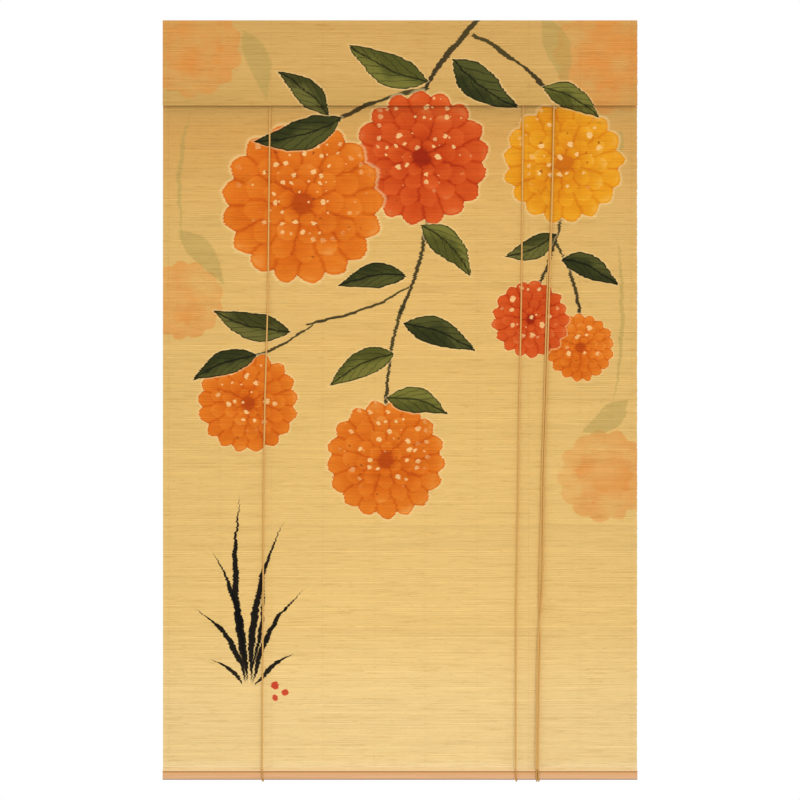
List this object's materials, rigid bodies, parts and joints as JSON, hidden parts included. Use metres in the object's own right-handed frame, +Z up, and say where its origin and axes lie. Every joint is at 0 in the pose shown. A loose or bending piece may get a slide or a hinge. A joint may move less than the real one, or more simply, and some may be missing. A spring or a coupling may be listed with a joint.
{
  "type": "bamboo blind",
  "caption": "Roll-up blind of fine level bamboo splints with a folded valance, a wooden foot batten, running lift cords and a pull at the right.",
  "frame": {"origin": "on top of the valance's fold, in the middle of the width and in the plane of the hanging cloth", "axes": "+X to the right seen from the room, +Y towards the window, +Z up; the printed face looks along -Y"},
  "size_m": [1, 0.0222, 1.6044],
  "materials": {
    "bamboo_cloth": "fine bamboo splints, printed at the front with blossoms in orange, gold and red with dark green leaves",
    "batten_wood": "planed pale wood, satin",
    "cord": "twisted tan cord, matte"
  },
  "bodies": {
    "root": {"panel": "bamboo_cloth", "valance": "bamboo_cloth", "bottom_batten": "batten_wood", "left_cord": "cord", "right_cord": "cord", "pull_knot": "cord"}
  },
  "joints": []
}
